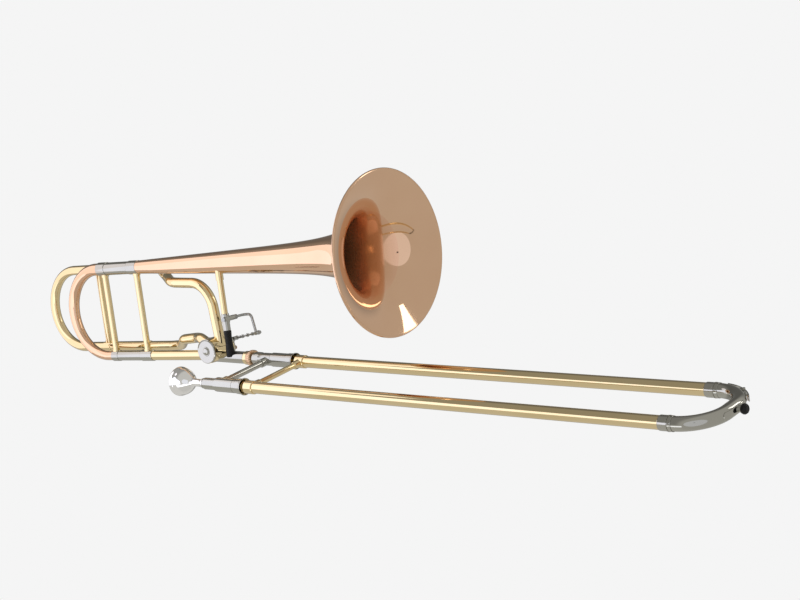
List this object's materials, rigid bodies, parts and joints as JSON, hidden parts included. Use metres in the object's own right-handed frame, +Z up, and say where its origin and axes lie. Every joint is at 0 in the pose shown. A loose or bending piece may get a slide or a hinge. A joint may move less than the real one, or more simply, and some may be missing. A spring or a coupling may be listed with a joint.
{
  "type": "trombone",
  "caption": "Tenor trombone with an F attachment: hand slide, bell section, two tuning slides, rotary valve with thumb lever, and mouthpiece.",
  "frame": {"origin": "middle of the left-hand brace, on the plane of the two slide tubes", "axes": "+X along the hand slide from the mouthpiece towards the bow, +Y from the mouthpiece-side tube towards the bell-side tube, +Z up towards the bell"},
  "size_m": [1.2523, 0.2598, 0.2705],
  "materials": {
    "rose_brass": "glossy lacquer",
    "yellow_brass": "glossy lacquer",
    "nut_brass": "glossy lacquer",
    "nickel_silver": "polished",
    "silver_plate": "mirror polished",
    "grey_steel": "satin",
    "black_rubber": "matt",
    "cork": "matt"
  },
  "bodies": {
    "inner_slide": {"inner_slide_tubes": "nickel_silver", "inner_slide_stockings": "nickel_silver", "bell_side_barrel": "nickel_silver", "mouthpiece_side_barrel": "nickel_silver", "barrel_cork_bumpers": "cork", "mouthpiece_receiver": "nickel_silver", "leadpipe": "yellow_brass", "slide_tenon": "nickel_silver", "left_hand_brace": "nickel_silver"},
    "lock_ring": {"slide_lock_ring": "nickel_silver"},
    "lock_nut": {"bell_lock_nut": "nut_brass"},
    "mouthpiece": {"mouthpiece": "silver_plate"},
    "hand_slide": {"outer_slide_tubes": "yellow_brass", "right_hand_brace_sleeves": "yellow_brass", "right_hand_brace": "yellow_brass", "slide_lock_nib": "yellow_brass", "slide_bow": "nickel_silver", "bow_guard_plate": "nickel_silver", "bow_sleeves": "nickel_silver", "bumper_cup": "nickel_silver", "bow_bumper": "black_rubber", "water_key_posts": "nickel_silver", "water_key_nipple": "nickel_silver"},
    "water_key": {"water_key_lever": "nickel_silver", "water_key_cork": "cork"},
    "bell_section": {"bell_flare": "rose_brass", "bell_rim_wire": "rose_brass", "bell_section_ferrules": "nickel_silver", "tuning_slide_outer_legs": "nickel_silver", "gooseneck": "yellow_brass", "bell_to_gooseneck_brace": "yellow_brass", "bell_receiver": "nickel_silver", "receiver_collar": "yellow_brass", "valve_casing": "yellow_brass", "valve_cap": "nickel_silver", "valve_cap_finial": "nickel_silver", "rear_bearing_plate": "nickel_silver", "stop_corks": "cork", "f_loop_upper_tube": "yellow_brass", "f_loop_lower_tube": "yellow_brass", "f_slide_outer_legs": "yellow_brass", "f_slide_leg_ferrules": "yellow_brass", "f_loop_stays": "yellow_brass", "bell_post": "yellow_brass", "lever_hinge_block": "nickel_silver", "grip_sleeve": "black_rubber", "lever_spring": "grey_steel"},
    "main_tuning_slide": {"tuning_crook": "rose_brass", "tuning_slide_ferrules": "nickel_silver", "tuning_slide_inner_legs": "nickel_silver", "tuning_slide_brace": "yellow_brass"},
    "f_tuning_slide": {"f_crook": "yellow_brass", "f_slide_ferrules": "yellow_brass", "f_slide_inner_legs": "nickel_silver", "f_slide_brace": "yellow_brass"},
    "thumb_lever": {"thumb_lever": "grey_steel"},
    "link": {"link_rod": "grey_steel"},
    "rotor": {"valve_rotor": "yellow_brass", "stop_arm": "grey_steel"}
  },
  "joints": [
    {"name": "hand_slide", "type": "slide", "parent": "inner_slide", "child": "hand_slide", "axis": [1, 0, 0], "range_m": [0, 0.6]},
    {"name": "slide_lock", "type": "hinge", "parent": "inner_slide", "child": "lock_ring", "pos_m": [0.049, -0.049, 0], "axis": [1, 0, 0], "range_deg": [0, 40]},
    {"name": "lock_nut_turn", "type": "hinge", "parent": "inner_slide", "child": "lock_nut", "pos_m": [-0.034, 0.049, 0], "axis": [1, 0, 0], "continuous": true},
    {"name": "bell_swivel", "type": "hinge", "parent": "inner_slide", "child": "bell_section", "pos_m": [-0.05, 0.049, 0], "axis": [1, 0, 0], "range_deg": [-15, 15]},
    {"name": "mouthpiece_pull", "type": "slide", "parent": "inner_slide", "child": "mouthpiece", "axis": [-1, 0, 0], "range_m": [0, 0.03]},
    {"name": "water_key", "type": "hinge", "parent": "hand_slide", "child": "water_key", "pos_m": [0.72498, 0.04963, 0], "axis": [0, 0, 1], "range_deg": [0, 10], "stiffness_Nm_per_rad": 0.06, "springref_deg": -20.05},
    {"name": "main_tuning_slide", "type": "slide", "parent": "bell_section", "child": "main_tuning_slide", "axis": [-0.9984, -0.0436, -0.0372], "range_m": [0, 0.04]},
    {"name": "f_tuning_slide", "type": "slide", "parent": "bell_section", "child": "f_tuning_slide", "axis": [-0.9984, -0.0436, -0.0372], "range_m": [0, 0.06]},
    {"name": "thumb_lever", "type": "hinge", "parent": "bell_section", "child": "thumb_lever", "pos_m": [-0.07193, 0.06877, 0.0526], "axis": [-0.0378, 0.989, -0.1429], "range_deg": [0, 36.26], "stiffness_Nm_per_rad": 0.12, "springref_deg": -20.05},
    {"name": "link_joint", "type": "hinge", "parent": "thumb_lever", "child": "link", "pos_m": [-0.05313, 0.08752, 0.02344], "axis": [-0.0378, 0.989, -0.1429], "range_deg": [-28, 0.5]},
    {"name": "rotor", "type": "hinge", "parent": "bell_section", "child": "rotor", "pos_m": [-0.10612, 0.05114, 0.00965], "axis": [-0.0378, 0.989, -0.1429], "range_deg": [-90.5, 0.5]}
  ],
  "couplings": [
    {"joint": "link_joint", "follows": "thumb_lever", "ratio": -0.7595},
    {"joint": "rotor", "follows": "thumb_lever", "ratio": -2.4821}
  ]
}
